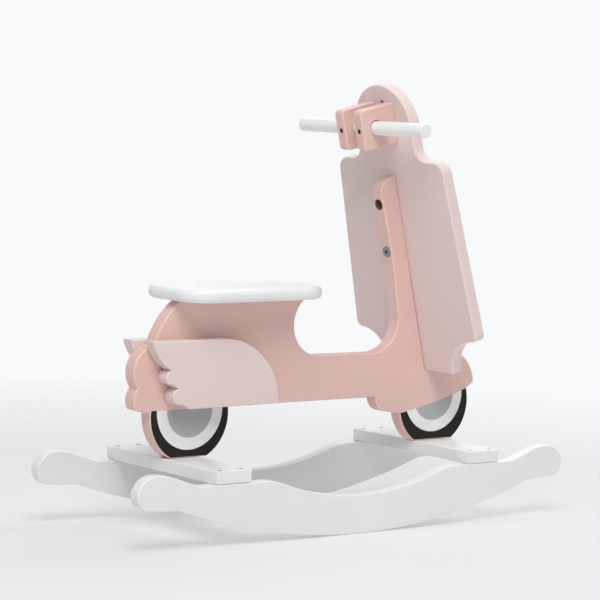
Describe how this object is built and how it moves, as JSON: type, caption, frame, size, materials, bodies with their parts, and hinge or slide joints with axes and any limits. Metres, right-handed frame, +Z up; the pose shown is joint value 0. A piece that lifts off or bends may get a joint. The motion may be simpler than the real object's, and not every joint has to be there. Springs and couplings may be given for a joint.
{
  "type": "rocking scooter toy",
  "caption": "Child's rocking toy shaped like a motor scooter, cut from painted boards, with a seat, a footboard, a leaning leg shield, a round handlebar and two curved rockers.",
  "frame": {"origin": "on the floor, under the middle of the toy's overall box", "axes": "+X towards the front of the scooter, +Y to the rider's left, +Z up"},
  "size_m": [0.7436, 0.2744, 0.6169],
  "materials": {
    "salmon_paint": "satin paint on board",
    "blush_paint": "satin paint on board",
    "white_paint": "satin paint on board",
    "screw_steel": "zinc plated",
    "insert_brass": "machined",
    "beech": "bare",
    "black_print": "printed film",
    "cream_print": "printed film",
    "grey_print": "printed film"
  },
  "bodies": {
    "root": {"bar_lock_screw_left": "screw_steel", "bar_lock_screw_right": "screw_steel", "body_panel": "salmon_paint", "cross_board_front": "white_paint", "cross_board_rear": "white_paint", "cross_board_screw_front_left_1": "screw_steel", "cross_board_screw_front_left_2": "screw_steel", "cross_board_screw_front_right_1": "screw_steel", "cross_board_screw_front_right_2": "screw_steel", "cross_board_screw_rear_left_1": "screw_steel", "cross_board_screw_rear_left_2": "screw_steel", "cross_board_screw_rear_right_1": "screw_steel", "cross_board_screw_rear_right_2": "screw_steel", "grip_block_left": "salmon_paint", "grip_block_right": "salmon_paint", "grip_block_screw_left_1": "screw_steel", "grip_block_screw_left_2": "screw_steel", "grip_block_screw_right_1": "screw_steel", "grip_block_screw_right_2": "screw_steel", "handlebar": "white_paint", "head_screw": "screw_steel", "hub_print_front_left": "grey_print", "hub_print_front_right": "grey_print", "hub_print_rear_left": "grey_print", "hub_print_rear_right": "grey_print", "leg_shield": "blush_paint", "rocker_left": "white_paint", "rocker_right": "white_paint", "seat_board": "white_paint", "seat_screw_front": "screw_steel", "seat_screw_rear": "screw_steel", "shield_bolt_lower": "screw_steel", "shield_bolt_upper": "screw_steel", "shield_insert_lower": "insert_brass", "shield_insert_upper": "insert_brass", "tyre_print_front_left": "black_print", "tyre_print_front_right": "black_print", "tyre_print_rear_left": "black_print", "tyre_print_rear_right": "black_print", "wheel_bolt_front_1": "screw_steel", "wheel_bolt_front_2": "screw_steel", "wheel_bolt_rear_1": "screw_steel", "wheel_bolt_rear_2": "screw_steel", "whitewall_print_front_left": "cream_print", "whitewall_print_front_right": "cream_print", "whitewall_print_rear_left": "cream_print", "whitewall_print_rear_right": "cream_print", "wing_left": "blush_paint", "wing_pin_1": "beech", "wing_pin_2": "beech", "wing_pin_3": "beech", "wing_right": "blush_paint"}
  },
  "joints": []
}
